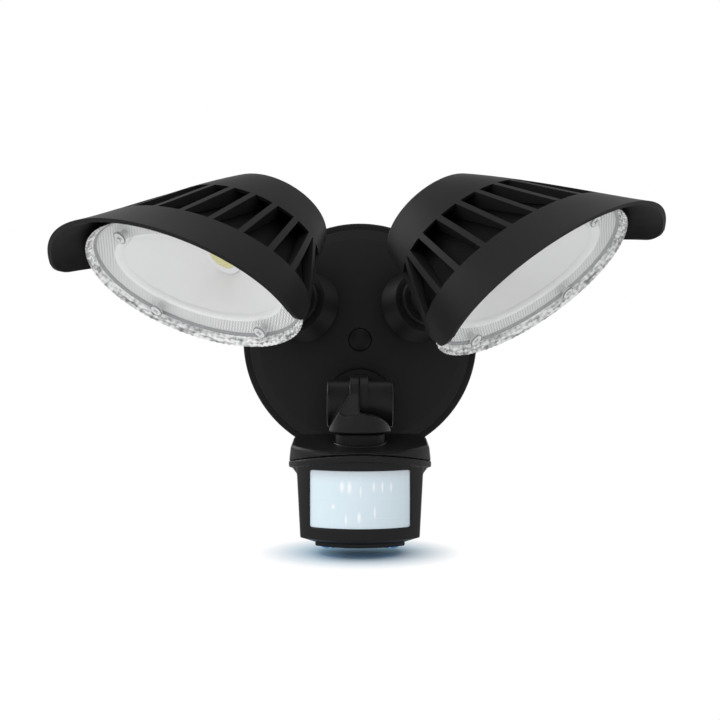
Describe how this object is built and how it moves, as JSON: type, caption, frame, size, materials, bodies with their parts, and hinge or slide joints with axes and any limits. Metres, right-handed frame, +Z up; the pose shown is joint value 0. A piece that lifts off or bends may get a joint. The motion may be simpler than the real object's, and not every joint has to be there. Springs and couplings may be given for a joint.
{
  "type": "motion sensor security light",
  "caption": "Wall security light: twin louvred oval lamp heads on swivel knuckles and a tilting motion sensor with a milky curved window on a round canopy.",
  "frame": {"origin": "centre of the canopy's rear face, in the plane of the wall, midway between the crossbar's two slots", "axes": "+Y into the wall, +Z up, +X to the right as the light is faced"},
  "size_m": [0.2814, 0.1521, 0.1728],
  "materials": {
    "black_metal": "satin black paint",
    "hood_black": "satin black paint, fine grain",
    "black_plastic": "satin black, fine grain",
    "black_rubber": "matt",
    "zinc_steel": "bright zinc plating",
    "black_steel": "black zinc",
    "bright_screw": "bright plating",
    "green_screw": "green plating",
    "plug_plastic": "black, soft gloss",
    "driver_case": "white",
    "milky_window": "milky, pale blue white",
    "circuit_board": "green lacquer",
    "pot_case": "black",
    "eye_can": "plated can",
    "cell_face": "reddish face",
    "dial_blue": "blue",
    "core_metal": "cast, dark coating",
    "clear_lens": "clear, moulded ribs round the side",
    "reflector_silver": "satin silver",
    "led_yellow": "yellow silicone over the diodes",
    "led_plate": "white lacquer"
  },
  "bodies": {
    "mount": {"canopy": "black_metal", "canopy_gasket": "black_rubber", "crossbar": "zinc_steel", "crossbar_nut": "zinc_steel", "ground_screw": "green_screw", "centre_screw": "zinc_steel", "screw_plug": "plug_plastic", "led_driver": "driver_case", "sensor_arm": "black_plastic", "sensor_arm_ring": "black_rubber", "sensor_arm_nut": "zinc_steel"},
    "left_lamp_arm": {"left_arm": "black_metal", "left_arm_ring": "black_rubber", "left_arm_nut": "zinc_steel"},
    "left_lamp_head": {"left_hood": "hood_black", "left_heat_core": "core_metal", "left_lens": "clear_lens", "left_lens_seal": "black_rubber", "left_lens_screws": "bright_screw", "left_reflector": "reflector_silver", "left_led_chip": "led_yellow", "left_led_board": "led_plate", "left_hood_screws": "zinc_steel", "left_tilt_screw": "zinc_steel", "left_tilt_nut": "zinc_steel"},
    "right_lamp_arm": {"right_arm": "black_metal", "right_arm_ring": "black_rubber", "right_arm_nut": "zinc_steel"},
    "right_lamp_head": {"right_hood": "hood_black", "right_heat_core": "core_metal", "right_lens": "clear_lens", "right_lens_seal": "black_rubber", "right_lens_screws": "bright_screw", "right_reflector": "reflector_silver", "right_led_chip": "led_yellow", "right_led_board": "led_plate", "right_hood_screws": "zinc_steel", "right_tilt_screw": "zinc_steel", "right_tilt_nut": "zinc_steel"},
    "sensor_knuckle": {"sensor_neck": "black_plastic", "sensor_tilt_screw": "black_steel", "sensor_tilt_nut": "black_steel", "pan_ring": "zinc_steel"},
    "sensor_head": {"sensor_cap": "black_plastic", "sensor_body": "black_plastic", "sensor_window": "milky_window", "sensor_base": "black_plastic", "control_board": "circuit_board", "potentiometers": "pot_case", "detector_board": "circuit_board", "heat_eye": "eye_can", "light_cell": "cell_face"},
    "left_knob": {"left_dial": "dial_blue"},
    "middle_knob": {"middle_dial": "dial_blue"},
    "right_knob": {"right_dial": "dial_blue"}
  },
  "joints": [
    {"name": "left_lamp_swivel", "type": "hinge", "parent": "mount", "child": "left_lamp_arm", "pos_m": [-0.03135, -0.02323, 0.01866], "axis": [-0.4657, -0.8471, 0.256], "range_deg": [-75, 75]},
    {"name": "left_lamp_tilt", "type": "hinge", "parent": "left_lamp_arm", "child": "left_lamp_head", "pos_m": [-0.04276, -0.04398, 0.02493], "axis": [0.8377, -0.5152, -0.1811], "range_deg": [-45, 45]},
    {"name": "right_lamp_swivel", "type": "hinge", "parent": "mount", "child": "right_lamp_arm", "pos_m": [0.03135, -0.02323, 0.01866], "axis": [0.4657, -0.8471, 0.256], "range_deg": [-75, 75]},
    {"name": "right_lamp_tilt", "type": "hinge", "parent": "right_lamp_arm", "child": "right_lamp_head", "pos_m": [0.04276, -0.04398, 0.02493], "axis": [0.7609, 0.531, 0.373], "range_deg": [-45, 45]},
    {"name": "sensor_tilt", "type": "hinge", "parent": "mount", "child": "sensor_knuckle", "pos_m": [0, -0.05, -0.031], "axis": [1, 0, 0], "range_deg": [-35, 15]},
    {"name": "sensor_pan", "type": "hinge", "parent": "sensor_knuckle", "child": "sensor_head", "pos_m": [0, -0.0645, -0.0502], "axis": [0, 0, 1], "range_deg": [-75, 75]},
    {"name": "left_dial_turn", "type": "hinge", "parent": "sensor_head", "child": "left_knob", "pos_m": [-0.0136, -0.072, -0.095], "axis": [0, 0, 1], "range_deg": [-135, 135]},
    {"name": "middle_dial_turn", "type": "hinge", "parent": "sensor_head", "child": "middle_knob", "pos_m": [0, -0.072, -0.095], "axis": [0, 0, 1], "range_deg": [-135, 135]},
    {"name": "right_dial_turn", "type": "hinge", "parent": "sensor_head", "child": "right_knob", "pos_m": [0.0136, -0.072, -0.095], "axis": [0, 0, 1], "range_deg": [-135, 135]}
  ]
}
